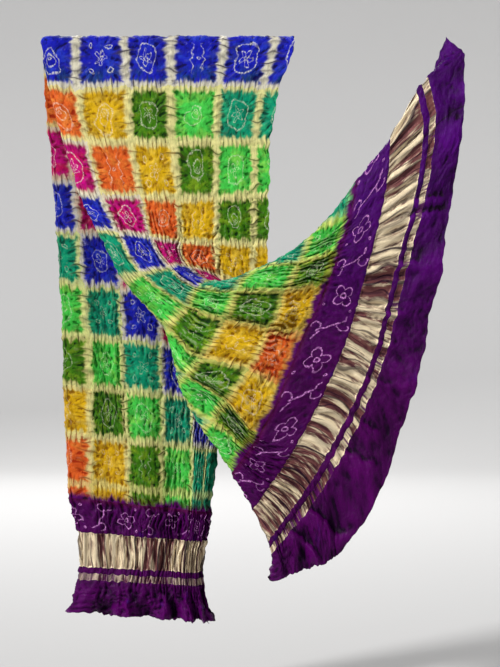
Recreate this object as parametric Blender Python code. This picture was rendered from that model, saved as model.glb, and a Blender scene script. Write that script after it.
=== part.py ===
"""A tie-dyed silk dupatta, folded in half along its length and hung over a support.

The back half hangs straight down. The front half falls in front of it, and the free corner of
its end border is lifted to the right, so that the cloth opens into a swag whose border runs
down on the slant.

Frame: +X across to the right, +Y away from the front, +Z up. The origin is the top of the
outer fold, half way across, where the cloth is held. Tables are in millimetres and in columns
of the check; the meshes are in metres.
"""

from collections import namedtuple

import bpy
import numpy as np

MM = 0.001

# The flat cloth. "across" counts columns of the check from the lengthwise fold line, "along"
# is the distance from the middle of the length.
COLUMN = 95.0          # one check with its band, across the cloth
ROW = 98.0             # the same along the cloth
HALF_WIDTH = 4.9       # columns from the centre line to a selvedge
CHECKS_END = 888.0     # along: where the checks meet the purple end
FRONT_BAND = 104.0     # along: the first band across the front fall
BACK_BAND = 81.0       # along: the same on the back fall, as the cloth hangs a little off its middle
VINE_END = 968.0       # along: the purple band with the vine
BROCADE_END = 1030.0   # along: the gathered gold band
PLAIN_END = 1042.0     # along: a narrow purple strip
STRIPE_END = 1056.0    # along: the thin gold stripe
CLOTH_END = 1140.0     # along: the hem

WALL = 1.6             # thickness of the cloth solid
SEAM_GAP = 0.3         # clear distance between neighbouring solids
SADDLE_DEPTH = 24.0    # radius of the outer layer over the support
SADDLE_ALONG = 37.0    # along: where the layers leave the support

PUFF_HEIGHT = 3.2      # how far a tied check stands out from its bands
GATHERS_FRONT = 45     # gathers in the gold band of the front end
GATHERS_BACK = 36      # gathers in the gold band of the back end, both layers
GATHER_HEIGHT = 3.2

# Front fall. Each row is a section across the cloth. Depths are toward the viewer: "plane" of
# the layer under the rim, "belly" added at the roundest place, "behind" of the layer folded
# under. crest_at and fold_at say which column lies on the rim and on the turned edge. The
# places are (x, z): the right selvedge, the crest of the rim, a point below the crest, the
# second and first bands from the centre line, a point beside the turned edge, the turned
# edge, and the left selvedge, which lies behind.
Section = namedtuple(
    "Section",
    "along plane belly behind crest_at fold_at selvedge crest upper second first beside fold lower",
)
FRONT = (
    Section(37, 24, 0, 12, 3.0, -0.2, (245, -26), (61, -25), (-14, -24), (-81, -24), (-175, -24), (-210, -24),
            (-241, -24), (199, -24)),
    Section(104, 30, 2, 14, 3.0, -0.16, (218, -105), (59, -101), (-12, -102), (-75, -102), (-171, -104),
            (-201, -102), (-227, -100), (191, -103)),
    Section(202, 33, 8, 14, 3.0, -0.15, (200, -209), (59, -207), (-6, -210), (-67, -210), (-151, -206),
            (-176, -204), (-200, -201), (183, -205)),
    Section(300, 34, 18, 12, 2.8, -0.1, (197, -310), (46, -315), (-3, -315), (-47, -313), (-123, -310),
            (-146, -309), (-167, -308), (179, -307)),
    Section(398, 34, 32, 11, 2.6, -0.15, (195, -402), (33, -399), (3, -396), (-27, -390), (-90, -381),
            (-113, -379), (-134, -375), (179, -405)),
    Section(496, 36, 48, 12, 2.4, -0.4, (198, -505), (37, -445), (22, -444), (8, -448), (-45, -459),
            (-64, -466), (-80, -477), (183, -503)),
    Section(594, 40, 64, 14, 2.2, -0.7, (232, -585), (90, -476), (76, -480), (61, -488), (42, -520),
            (19, -546), (-3, -568), (191, -599)),
    Section(692, 52, 64, 18, 2.6, -2.1, (300, -505), (170, -453), (153, -469), (134, -494), (115, -546),
            (55, -636), (24, -667), (199, -691)),
    Section(790, 50, 62, 24, 3.5, -2.9, (360, -405), (277, -387), (260, -424), (228, -492), (198, -565),
            (123, -692), (71, -756), (208, -779)),
    Section(888, 42, 56, 32, 4.15, -3.6, (404, -308), (363, -285), (350, -348), (303, -484), (263, -574),
            (175, -768), (126, -838), (218, -851)),
    Section(968, 38, 50, 38, 4.35, -4.2, (453, -222), (427, -203), (422, -263), (367, -504), (343, -583),
            (243, -793), (166, -908), (212, -931)),
    Section(1030, 34, 46, 42, 4.5, -4.5, (494, -126), (476, -115), (488, -181), (421, -508), (394, -610),
            (287, -835), (194, -969), (217, -984)),
    Section(1140, 30, 40, 44, 4.3, -4.6, (536, -6), (571, -46), (565, -155), (514, -493), (480, -650),
            (327, -994), (210, -1045), (198, -1034)),
)
# Share of the belly at the places from the right selvedge to the one beside the turned edge.
BELLY_SHARE = (0.0, 0.5, 0.8, 0.95, 1.0, 0.85)
TURN_ROOM = 0.7        # most of the way to the point beside it that the turned edge's round takes

# Back fall. Each row is a section: where its left turned edge and its right selvedges are, how
# deep its near and far layers hang, which column lies on the turned edge, and x of the near
# layer's four long bands, from the turned edge outward.
Hang = namedtuple(
    "Hang", "along left_x left_z right_x right_z near far fold_at first second third fourth"
)
BACK = (
    Hang(37, -241, -24, 245, -24, 12, 24, -0.2, -210, -109, -8, 94),
    Hang(104, -240, -96, 211, -105, 13, 26, -0.1, -200, -112, -27, 62),
    Hang(202, -230, -197, 191, -210, 13, 28, 0.0, -187, -107, -28, 52),
    Hang(300, -220, -300, 176, -320, 13, 30, 0.08, -177, -101, -24, 50),
    Hang(398, -214, -400, 160, -426, 13, 31, 0.1, -169, -95, -19, 50),
    Hang(496, -207, -500, 147, -528, 13, 32, 0.1, -160, -90, -14, 50),
    Hang(594, -203, -600, 135, -628, 13, 32, 0.1, -152, -87, -11, 50),
    Hang(692, -201, -696, 119, -726, 13, 32, 0.1, -148, -83, -9, 50),
    Hang(790, -197, -793, 96, -822, 13, 32, 0.1, -148, -77, -9, 49),
    Hang(888, -189, -892, 86, -921, 13, 32, 0.1, -146, -75, -9, 46),
    Hang(968, -174, -958, 77, -978, 13, 33, 0.1, -137, -70, -8, 40),
    Hang(1030, -170, -1026, 69, -1038, 13, 34, 0.1, -134, -70, -11, 34),
    Hang(1140, -189, -1114, 92, -1135, 15, 47, 0.1, -146, -76, -6, 46),
)
NEAR_BANDS = (-0.5, -1.5, -2.5, -3.5)   # the columns of those four bands
NEAR_REACH = 0.96      # share of the back fall's width that its near layer takes
FAR_SHARES = (1.0, 0.75, 0.55, 0.35, 0.2, 0.05)   # guide points of the far layer, as shares

# Hanging folds: the column on the ridge, its half width in columns, its height, and the
# stretch along the cloth over which it grows.
Fold = namedtuple("Fold", "column half_width height starts full")
BACK_FOLDS = (
    Fold(-0.9, 0.50, 4.0, 104, 500),
    Fold(-1.9, 0.55, -5.5, 104, 1000),
    Fold(-2.8, 0.60, 5.0, 104, 700),
    Fold(-3.7, 0.55, -4.5, 300, 1000),
    Fold(0.9, 0.60, -4.5, 104, 800),
    Fold(2.1, 0.60, 4.0, 200, 900),
    Fold(3.2, 0.60, -5.0, 104, 700),
    Fold(4.2, 0.55, 4.0, 300, 1000),
)
# Long soft folds that sweep round the swag from the rim to the turned edge.
SWAG_FOLDS = (
    Fold(1.8, 0.45, -7.0, 400, 640),
    Fold(0.5, 0.50, 6.0, 420, 700),
    Fold(-0.8, 0.50, -7.0, 560, 800),
    Fold(-2.0, 0.50, 6.0, 640, 888),
    Fold(3.0, 0.45, 5.0, 640, 888),
)
SWAG_FOLDS_FADE = (888, 960)
# Creases that fan over the plain front end from the thin stripe to the hem.
FRONT_END_FOLDS = (
    Fold(4.1, 0.35, 5.0, 1056, 1110),
    Fold(3.4, 0.35, -6.0, 1056, 1140),
    Fold(2.6, 0.45, 8.0, 1056, 1120),
    Fold(1.8, 0.40, -8.0, 1056, 1140),
    Fold(1.1, 0.35, 6.0, 1056, 1100),
    Fold(0.4, 0.40, -7.0, 1056, 1140),
    Fold(-0.4, 0.45, 8.0, 1056, 1120),
    Fold(-1.2, 0.40, -8.0, 1056, 1140),
    Fold(-2.0, 0.40, 7.0, 1056, 1110),
    Fold(-2.8, 0.45, -7.0, 1056, 1140),
    Fold(-3.5, 0.35, 6.0, 1056, 1120),
)
FLARE_WAVES = 9        # ruffle waves round both layers of the back end
FLARE_HEIGHT = 13.0
FLARE_PARTS = 60       # how many parts divide the section of the back end's ruffle
END_PARTS = 54         # the same for the front end's creases

# How finely a section is divided: from the right selvedge to the crest of the rim, from there
# to the turned edge, round that edge, and on to the left selvedge.
RIM_PARTS = 5
FACE_PARTS = 17
TURN_PARTS = 4
UNDER_PARTS = 7
TURN_AT = 7            # the turned edge's place in a section's guide points
SLOPE_STEP = 4.0       # how far along, each way, a section's neighbours are taken for its slope
LEAST_PART = 0.08      # two points of a finely divided section are no closer than this share


def natural_spline(knots, values, at):
    """Values of the natural cubic spline through (knots, values) at the places `at`."""
    knots = np.asarray(knots, float)
    values = np.asarray(values, float)
    at = np.asarray(at, float)
    step = np.diff(knots)
    slope = np.diff(values, axis=0) / step.reshape((-1,) + (1,) * (values.ndim - 1))
    count = len(knots)
    matrix = np.eye(count)
    right = np.zeros_like(values)
    for i in range(1, count - 1):
        matrix[i, i - 1:i + 2] = step[i - 1], 2 * (step[i - 1] + step[i]), step[i]
        right[i] = 6 * (slope[i] - slope[i - 1])
    bend = np.linalg.solve(matrix, right.reshape(count, -1)).reshape(values.shape)
    i = np.clip(np.searchsorted(knots, at, side="right") - 1, 0, count - 2)
    shape = (-1,) + (1,) * (values.ndim - 1)
    gap = step[i].reshape(shape)
    low = ((knots[i + 1] - at).reshape(shape)) / gap
    high = 1 - low
    curve = ((low**3 - low) * bend[i] + (high**3 - high) * bend[i + 1]) * gap**2 / 6
    return low * values[i] + high * values[i + 1] + curve


def steady_curve(knots, values, at):
    """Values of a smooth curve through (knots, values) that never swings past its points."""
    step = np.diff(knots)[:, None]
    slope = np.diff(values, axis=0) / step
    before, after = slope[:-1], slope[1:]
    weight_before = 2 * step[1:] + step[:-1]
    weight_after = step[1:] + 2 * step[:-1]
    same_way = before * after > 0
    safe_before = np.where(same_way, before, 1.0)
    safe_after = np.where(same_way, after, 1.0)
    mean = (weight_before + weight_after) / (weight_before / safe_before + weight_after / safe_after)
    tangent = np.concatenate((slope[:1], np.where(same_way, mean, 0.0), slope[-1:]))
    i = np.clip(np.searchsorted(knots, at, side="right") - 1, 0, len(knots) - 2)
    gap = step[i]
    t = (at - knots[i])[:, None] / gap
    return (
        (2 * t**3 - 3 * t**2 + 1) * values[i]
        + (t**3 - 2 * t**2 + t) * gap * tangent[i]
        + (3 * t**2 - 2 * t**3) * values[i + 1]
        + (t**3 - t**2) * gap * tangent[i + 1]
    )


def smooth_step(value):
    value = np.clip(value, 0.0, 1.0)
    return value * value * (3 - 2 * value)


def bump(column, fold):
    """A fold's soft cross-section, 1 on its ridge and 0 at its feet."""
    return np.cos(np.clip((column - fold.column) / fold.half_width, -1, 1) * np.pi / 2) ** 2


def fold_relief(column, along, folds):
    """Height of the hanging folds at one place of the cloth."""
    total = 0.0
    for fold in folds:
        grown = smooth_step((along - fold.starts) / (fold.full - fold.starts))
        total = total + fold.height * grown * bump(column, fold)
    return total


def puff_relief(column, along):
    """The tied checks stand out between the flat bands of the grid."""
    row = (np.abs(along) - np.where(along > 0, FRONT_BAND, BACK_BAND)) / ROW
    inside = (np.abs(along) < CHECKS_END) & (np.abs(column) < HALF_WIDTH - 0.4)
    return PUFF_HEIGHT * inside * np.abs(np.cos(np.pi * column) * np.sin(np.pi * row))


def front_guides(along):
    """(columns, points) of the section's guide points, from the right selvedge to the left."""
    knots = [s.along for s in FRONT]
    numbers = natural_spline(knots, [s[1:6] for s in FRONT], along)
    places = natural_spline(knots, [s[6:] for s in FRONT], along)
    found = []
    for (plane, belly, behind, crest_at, fold_at), place in zip(numbers, places):
        below_crest = crest_at - min(0.7, (crest_at - 1.5) / 2)
        columns = [HALF_WIDTH, crest_at, below_crest, 1.5, 0.5, (0.5 + fold_at) / 2]
        points = [
            (x, plane + belly * share, z) for (x, z), share in zip(place[:6], BELLY_SHARE)
        ]
        found.append(turned_under(columns, points, fold_at, behind, place[6], place[7]))
    return found


def turned_under(columns, points, fold_at, behind, edge, lower):
    """Adds the turned edge and the layer under it to a section's guide points."""
    front = points[-1][1]
    radius = (front - behind) / 2
    inward = np.array(points[-1])[[0, 2]] - edge
    reach = np.linalg.norm(inward)
    inward = inward / reach
    shoulder = edge + inward * min(radius, 0.6 * reach)
    room = min(TURN_ROOM * (columns[-1] - fold_at), 0.45 * (HALF_WIDTH + fold_at))
    quarter = min(0.5 * np.pi * radius / COLUMN, room)
    under = min(radius, 0.35 * np.linalg.norm(lower - edge))
    shoulder_under = edge + (lower - edge) / np.linalg.norm(lower - edge) * under
    middle = (shoulder_under + lower) / 2
    columns = columns + [
        fold_at + quarter, fold_at, fold_at - quarter, (fold_at - quarter - HALF_WIDTH) / 2, -HALF_WIDTH,
    ]
    points = points + [
        (shoulder[0], (front + (front + behind) / 2) / 2 + 0.2 * radius, shoulder[1]),
        (edge[0], (front + behind) / 2, edge[1]),
        (shoulder_under[0], behind + 0.1 * radius, shoulder_under[1]),
        (middle[0], behind, middle[1]),
        (lower[0], behind, lower[1]),
    ]
    return np.array(columns), np.array(points)


def back_guides(along):
    """The same for the back fall. Its near layer is the one on the left selvedge's side."""
    knots = [s.along for s in BACK]
    found = []
    for row in natural_spline(knots, BACK, along):
        hang = Hang(*row)
        radius = (hang.far - hang.near) / 2
        middle = -(hang.near + hang.far) / 2
        width = hang.right_x - hang.left_x
        turn = 0.5 * np.pi * radius / COLUMN
        columns = [hang.fold_at + (HALF_WIDTH - hang.fold_at) * share for share in FAR_SHARES]
        columns += [hang.fold_at + turn, hang.fold_at, hang.fold_at - turn]
        columns += [*NEAR_BANDS, -HALF_WIDTH]
        across = [(hang.left_x + width * share, -hang.far) for share in FAR_SHARES]
        across += [
            (hang.left_x + 0.3 * radius, middle - 0.7 * radius),
            (hang.left_x, middle),
            (hang.left_x + 0.3 * radius, middle + 0.7 * radius),
        ]
        near_places = (hang.first, hang.second, hang.third, hang.fourth, hang.left_x + width * NEAR_REACH)
        across += [(x, -hang.near) for x in near_places]
        points = []
        for x, depth in across:
            share = (x - hang.left_x) / width
            points.append((x, depth, hang.left_z + (hang.right_z - hang.left_z) * share))
        found.append((np.array(columns), np.array(points)))
    return found


def section_columns(columns):
    """Where a section is divided: a line of points stays on the crest and on the turned edge."""
    crest = columns[1]
    before, at, after = columns[TURN_AT - 1:TURN_AT + 2]
    return np.concatenate((
        np.linspace(HALF_WIDTH, crest, RIM_PARTS + 1)[:-1],
        np.linspace(crest, before, FACE_PARTS + 1)[:-1],
        np.linspace(before, at, TURN_PARTS // 2 + 1)[:-1],
        np.linspace(at, after, TURN_PARTS // 2 + 1)[:-1],
        np.linspace(after, -HALF_WIDTH, UNDER_PARTS + 1),
    ))


def sections(along, guides):
    """Columns and points (x, depth, z) of the divided sections at each place along."""
    all_columns = []
    all_points = []
    for columns, points in guides(along):
        length = np.concatenate(([0], np.cumsum(np.linalg.norm(np.diff(points, axis=0), axis=1))))
        wanted = section_columns(columns)
        place = np.interp(-wanted, -columns, length)
        all_columns.append(wanted)
        all_points.append(steady_curve(length, points, place))
    return np.array(all_columns), np.array(all_points)


def over_the_saddle(along, columns, front, back):
    """The layers' way over the support, from the front section to the back one."""
    angle = along / SADDLE_ALONG * np.pi / 2
    share = (1 + np.sin(angle)) / 2
    depth = front[:, 1]
    x = share * front[:, 0] + (1 - share) * back[:, 0]
    return columns, np.stack((x, depth * np.sin(angle), -SADDLE_DEPTH + depth * np.cos(angle)), 1)


def cloth_rows(along):
    """Columns and points of the whole cloth at each place along, front positive."""
    along = np.asarray(along, float)
    columns = []
    points = []
    top_columns, top_front = sections(np.array([SADDLE_ALONG]), front_guides)
    _, top_back = sections(np.array([SADDLE_ALONG]), back_guides)
    for place in along:
        if place >= SADDLE_ALONG:
            found = sections(np.array([place]), front_guides)
            columns.append(found[0][0])
            points.append(found[1][0])
        elif place <= -SADDLE_ALONG:
            found = sections(np.array([-place]), back_guides)
            columns.append(found[0][0])
            points.append(found[1][0])
        else:
            found = over_the_saddle(place, top_columns[0], top_front[0], top_back[0])
            columns.append(found[0])
            points.append(found[1])
    points = np.array(points)
    # Depth toward the viewer is -Y.
    return np.array(columns), np.stack((points[..., 0], -points[..., 1], points[..., 2]), -1)


def grid_normals(points):
    """Unit normals of a grid of points, out of the face that was folded outward."""
    down = np.gradient(points, axis=0)
    left = np.gradient(points, axis=1)
    normal = np.cross(down, left)
    return normal / np.linalg.norm(normal, axis=-1, keepdims=True)


def relief(columns, along):
    """Outward height of the cloth's folds and puffs above its smooth sections."""
    along = along[:, None] * np.ones_like(columns)
    height = puff_relief(columns, along)
    starts, ends = SWAG_FOLDS_FADE
    swag = fold_relief(columns, along, SWAG_FOLDS) * smooth_step((ends - along) / (ends - starts))
    hang = fold_relief(columns, -along, BACK_FOLDS)
    return height + np.where(along > 0, swag, hang)


def gathers(columns, along, share, count):
    """Small gathers of a gold band, uneven in height and fading at its two seams."""
    turns = count * (HALF_WIDTH - columns) / (2 * HALF_WIDTH)
    fade = np.sin(np.pi * share) ** 0.6
    uneven = 0.75 + 0.25 * np.sin(0.51 * turns + 1.1)
    return GATHER_HEIGHT * fade * uneven * np.sin(2 * np.pi * turns)


def front_gathers(columns, along, share):
    return gathers(columns, along, share, GATHERS_FRONT)


def back_gathers(columns, along, share):
    return gathers(columns, along, share, GATHERS_BACK)


def front_end_creases(columns, along, share):
    return fold_relief(columns, along, FRONT_END_FOLDS)


def back_end_flare(columns, along, share):
    """Ruffle waves that grow toward the hem."""
    waves = np.sin(np.pi * (columns / HALF_WIDTH) * FLARE_WAVES + 0.6 * np.sin(2.3 * columns))
    return FLARE_HEIGHT * smooth_step(share) * waves


def material(name, colour, roughness, metallic):
    made = bpy.data.materials.new(name)
    made.use_nodes = True
    shader = made.node_tree.nodes["Principled BSDF"]
    shader.inputs["Base Color"].default_value = (*colour, 1.0)
    shader.inputs["Roughness"].default_value = roughness
    shader.inputs["Metallic"].default_value = metallic
    made.diffuse_color = (*colour, 1.0)
    return made


def cloth_wall(name, outer, inner, finish, collection):
    """A closed wall between two grids of points, with its four edges closed."""
    rows, parts = outer.shape[:2]
    size = rows * parts
    vertices = np.concatenate((outer.reshape(-1, 3), inner.reshape(-1, 3))) * MM
    faces = []
    for i in range(rows - 1):
        for j in range(parts - 1):
            a = i * parts + j
            b, c, d = a + 1, a + parts + 1, a + parts
            faces.append((a, d, c, b))
            faces.append((size + a, size + b, size + c, size + d))
    rim = list(range(parts))
    rim += [i * parts + parts - 1 for i in range(1, rows)]
    rim += [(rows - 1) * parts + j for j in range(parts - 2, -1, -1)]
    rim += [i * parts for i in range(rows - 2, 0, -1)]
    for a, b in zip(rim, rim[1:] + rim[:1]):
        faces.append((a, b, size + b, size + a))
    mesh = bpy.data.meshes.new(name)
    mesh.from_pydata(vertices.tolist(), [], faces)
    mesh.update()
    mesh.materials.append(finish)
    mesh.shade_smooth()
    mesh.set_sharp_from_angle(angle=np.radians(50))
    made = bpy.data.objects.new(name, mesh)
    collection.objects.link(made)
    return made


def even_rows(start, end, most):
    """Places along the cloth from one seam to the next, no further apart than `most`."""
    count = max(1, int(np.ceil(abs(end - start) / most)))
    return np.linspace(start, end, count + 1)


# Each solid: name, where it starts and ends along the cloth, its longest step, and for the
# stretches with fine waves, their height and how many parts the section is divided into.
Piece = namedtuple("Piece", "name start end step waves parts colour roughness metallic")
BLUE = (0.02, 0.03, 0.55)
GREEN = (0.20, 0.50, 0.06)
YELLOW = (0.75, 0.45, 0.02)
TEAL = (0.02, 0.45, 0.30)
PURPLE = (0.10, 0.01, 0.22)
GOLD = (0.70, 0.62, 0.42)
PIECES = (
    Piece("top_fold", -202, 202, 24, None, 0, BLUE, 0.5, 0.0),
    Piece("front_panel", 202, 496, 33, None, 0, GREEN, 0.5, 0.0),
    Piece("front_swag", 496, CHECKS_END, 33, None, 0, YELLOW, 0.5, 0.0),
    Piece("front_vine_band", CHECKS_END, VINE_END, 40, None, 0, PURPLE, 0.5, 0.0),
    Piece("front_gold_band", VINE_END, BROCADE_END, 31, front_gathers, 4 * GATHERS_FRONT, GOLD, 0.35, 0.6),
    Piece("front_narrow_strip", BROCADE_END, PLAIN_END, 30, None, 0, PURPLE, 0.5, 0.0),
    Piece("front_thin_stripe", PLAIN_END, STRIPE_END, 30, None, 0, GOLD, 0.35, 0.6),
    Piece("front_plain_end", STRIPE_END, CLOTH_END, 28, front_end_creases, END_PARTS, PURPLE, 0.5, 0.0),
    Piece("back_panel", -202, -CHECKS_END, 49, None, 0, TEAL, 0.5, 0.0),
    Piece("back_vine_band", -CHECKS_END, -VINE_END, 40, None, 0, PURPLE, 0.5, 0.0),
    Piece("back_gold_band", -VINE_END, -BROCADE_END, 31, back_gathers, 4 * GATHERS_BACK, GOLD, 0.35, 0.6),
    Piece("back_narrow_strip", -BROCADE_END, -PLAIN_END, 30, None, 0, PURPLE, 0.5, 0.0),
    Piece("back_thin_stripe", -PLAIN_END, -STRIPE_END, 30, None, 0, GOLD, 0.35, 0.6),
    Piece("back_plain_end", -STRIPE_END, -CLOTH_END, 28, back_end_flare, FLARE_PARTS, PURPLE, 0.5, 0.0),
)


def seam_row(along):
    """Columns, middle points and normals of one section, and the way onward along the cloth."""
    around = np.array([along - SLOPE_STEP, along, along + SLOPE_STEP])
    columns, points = cloth_rows(around)
    points = points + grid_normals(points) * relief(columns, around)[..., None]
    normals = grid_normals(points)[1]
    onward = np.cross(np.gradient(points[1], axis=0), normals)
    onward /= np.linalg.norm(onward, axis=-1, keepdims=True)
    return columns[1], points[1], normals, onward


def wavy(piece, along, columns, points, normals):
    """The piece's points, divided more finely across the cloth and moved by its fine waves."""
    coarse = points.shape[1] - 1
    fine = np.linspace(0, coarse, piece.parts + 1)
    fine = np.unique(np.concatenate((fine, np.arange(coarse + 1.0))))
    apart = np.concatenate(([True], np.diff(fine) > LEAST_PART))
    on_line = np.isclose(fine, np.round(fine))
    fine = fine[apart | on_line]
    low = np.minimum(fine.astype(int), coarse - 1)
    share = fine - low
    columns = columns[:, low] * (1 - share) + columns[:, low + 1] * share
    share = share[:, None]
    points = points[:, low] * (1 - share) + points[:, low + 1] * share
    normals = normals[:, low] * (1 - share) + normals[:, low + 1] * share
    onward = np.linspace(0, 1, len(points))[:, None] * np.ones_like(columns)
    height = piece.waves(columns, np.abs(along)[:, None] * np.ones_like(columns), onward)
    return points + normals * height[..., None], normals


def build_piece(piece, collection):
    sign = np.sign(piece.end - piece.start)
    along = even_rows(piece.start, piece.end, piece.step)
    columns, points, normals, onward = (np.array(part) for part in zip(*map(seam_row, along)))
    shift = np.zeros(len(along))
    shift[0] = sign * SEAM_GAP / 2
    shift[-1] = 0 if abs(piece.end) == CLOTH_END else -sign * SEAM_GAP / 2
    points = points + onward * shift[:, None, None]
    if piece.waves:
        points, normals = wavy(piece, along, columns, points, normals)
    if sign < 0:
        points = points[::-1]
        normals = normals[::-1]
    outer = points + normals * WALL / 2
    inner = points - normals * WALL / 2
    finish = material(piece.name, piece.colour, piece.roughness, piece.metallic)
    cloth_wall(piece.name, outer, inner, finish, collection)


def main():
    for old in list(bpy.data.objects):
        bpy.data.objects.remove(old, do_unlink=True)
    collection = bpy.data.collections.new("dupatta")
    bpy.context.scene.collection.children.link(collection)
    for piece in PIECES:
        build_piece(piece, collection)


main()
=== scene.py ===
"""The looks of a tie-dyed silk dupatta, folded along its length and hung over a support.

Every piece is a thin shell on the form of its CAD solid: the same sections, worked out from the
same tables in millimetres and columns of the check, divided finely enough for the crinkle that
tying leaves in the silk. Colours come from the cloth's own coordinates: its column across and its
place along, so the checks, woven bands and tied motifs follow every fold.
"""

from collections import namedtuple

import bpy
import numpy as np
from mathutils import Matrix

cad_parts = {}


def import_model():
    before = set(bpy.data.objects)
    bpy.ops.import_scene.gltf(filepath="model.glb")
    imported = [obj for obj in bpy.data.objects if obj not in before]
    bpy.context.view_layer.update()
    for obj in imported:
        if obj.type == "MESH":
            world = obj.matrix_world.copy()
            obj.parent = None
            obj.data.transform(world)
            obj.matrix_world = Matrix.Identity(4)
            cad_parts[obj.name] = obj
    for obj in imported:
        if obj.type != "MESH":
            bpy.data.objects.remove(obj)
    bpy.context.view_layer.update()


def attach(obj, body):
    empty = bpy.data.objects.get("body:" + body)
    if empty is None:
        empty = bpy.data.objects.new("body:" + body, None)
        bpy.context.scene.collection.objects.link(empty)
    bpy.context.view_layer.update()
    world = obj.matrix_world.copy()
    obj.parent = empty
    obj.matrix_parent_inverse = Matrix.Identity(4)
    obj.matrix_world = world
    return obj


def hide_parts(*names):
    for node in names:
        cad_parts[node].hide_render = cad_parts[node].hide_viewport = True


MM = 0.001

# ---- The cloth's sizes ----

# The flat cloth. "across" counts columns of the check from the lengthwise fold line, "along"
# is the distance from the middle of the length.
COLUMN = 95.0          # one check with its band, across the cloth
ROW = 98.0             # the same along the cloth
HALF_WIDTH = 4.9       # columns from the centre line to a selvedge
LAST_COLUMN = 4        # number of the outermost column, from the middle one at 0
LAST_ROW = 7           # number of the last row of checks, from 0
LAST_ROW_LENGTH = 0.9  # its length, in rows
CHECKS_END = 888.0     # along: where the checks meet the purple end
FRONT_BAND = 104.0     # along: the first band across the front fall
BACK_BAND = 81.0       # along: the same on the back fall; the cloth hangs a little off its middle
VINE_END = 968.0       # along: the purple band with the vine
BROCADE_END = 1030.0   # along: the gathered gold band
PLAIN_END = 1042.0     # along: a narrow purple strip
STRIPE_END = 1056.0    # along: the thin gold stripe
CLOTH_END = 1140.0     # along: the hem

SADDLE_DEPTH = 24.0    # radius of the outer layer over the support
SADDLE_ALONG = 37.0    # along: where the layers leave the support

PUFF_HEIGHT = 3.2      # how far a tied check stands out from its bands
GATHERS_FRONT = 45     # gathers in the gold band of the front end
GATHERS_BACK = 36      # gathers in the gold band of the back end, both layers
GATHER_HEIGHT = 3.2

# Front fall. Each row is a section across the cloth. Depths are toward the viewer: "plane" of
# the layer under the rim, "belly" added at the roundest place, "behind" of the layer folded
# under. crest_at and fold_at say which column lies on the rim and on the turned edge. The
# places are (x, z): the right selvedge, the crest of the rim, a point below the crest, the
# second and first bands from the centre line, a point beside the turned edge, the turned
# edge, and the left selvedge, which lies behind.
Section = namedtuple(
    "Section",
    "along plane belly behind crest_at fold_at selvedge crest upper second first beside fold lower",
)
FRONT = (
    Section(37, 24, 0, 12, 3.0, -0.2, (245, -26), (61, -25), (-14, -24), (-81, -24),
            (-175, -24), (-210, -24), (-241, -24), (199, -24)),
    Section(104, 30, 2, 14, 3.0, -0.16, (218, -105), (59, -101), (-12, -102), (-75, -102),
            (-171, -104), (-201, -102), (-227, -100), (191, -103)),
    Section(202, 33, 8, 14, 3.0, -0.15, (200, -209), (59, -207), (-6, -210), (-67, -210),
            (-151, -206), (-176, -204), (-200, -201), (183, -205)),
    Section(300, 34, 18, 12, 2.8, -0.1, (197, -310), (46, -315), (-3, -315), (-47, -313),
            (-123, -310), (-146, -309), (-167, -308), (179, -307)),
    Section(398, 34, 32, 11, 2.6, -0.15, (195, -402), (33, -399), (3, -396), (-27, -390),
            (-90, -381), (-113, -379), (-134, -375), (179, -405)),
    Section(496, 36, 48, 12, 2.4, -0.4, (198, -505), (37, -445), (22, -444), (8, -448),
            (-45, -459), (-64, -466), (-80, -477), (183, -503)),
    Section(594, 40, 64, 14, 2.2, -0.7, (232, -585), (90, -476), (76, -480), (61, -488),
            (42, -520), (19, -546), (-3, -568), (191, -599)),
    Section(692, 52, 64, 18, 2.6, -2.1, (300, -505), (170, -453), (153, -469), (134, -494),
            (115, -546), (55, -636), (24, -667), (199, -691)),
    Section(790, 50, 62, 24, 3.5, -2.9, (360, -405), (277, -387), (260, -424), (228, -492),
            (198, -565), (123, -692), (71, -756), (208, -779)),
    Section(888, 42, 56, 32, 4.15, -3.6, (404, -308), (363, -285), (350, -348), (303, -484),
            (263, -574), (175, -768), (126, -838), (218, -851)),
    Section(968, 38, 50, 38, 4.35, -4.2, (453, -222), (427, -203), (422, -263), (367, -504),
            (343, -583), (243, -793), (166, -908), (212, -931)),
    Section(1030, 34, 46, 42, 4.5, -4.5, (494, -126), (476, -115), (488, -181), (421, -508),
            (394, -610), (287, -835), (194, -969), (217, -984)),
    Section(1140, 30, 40, 44, 4.3, -4.6, (536, -6), (571, -46), (565, -155), (514, -493),
            (480, -650), (327, -994), (210, -1045), (198, -1034)),
)
# Share of the belly at the places from the right selvedge to the one beside the turned edge.
BELLY_SHARE = (0.0, 0.5, 0.8, 0.95, 1.0, 0.85)
TURN_ROOM = 0.7        # most of the way to the point beside it that the turned edge's round takes

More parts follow.
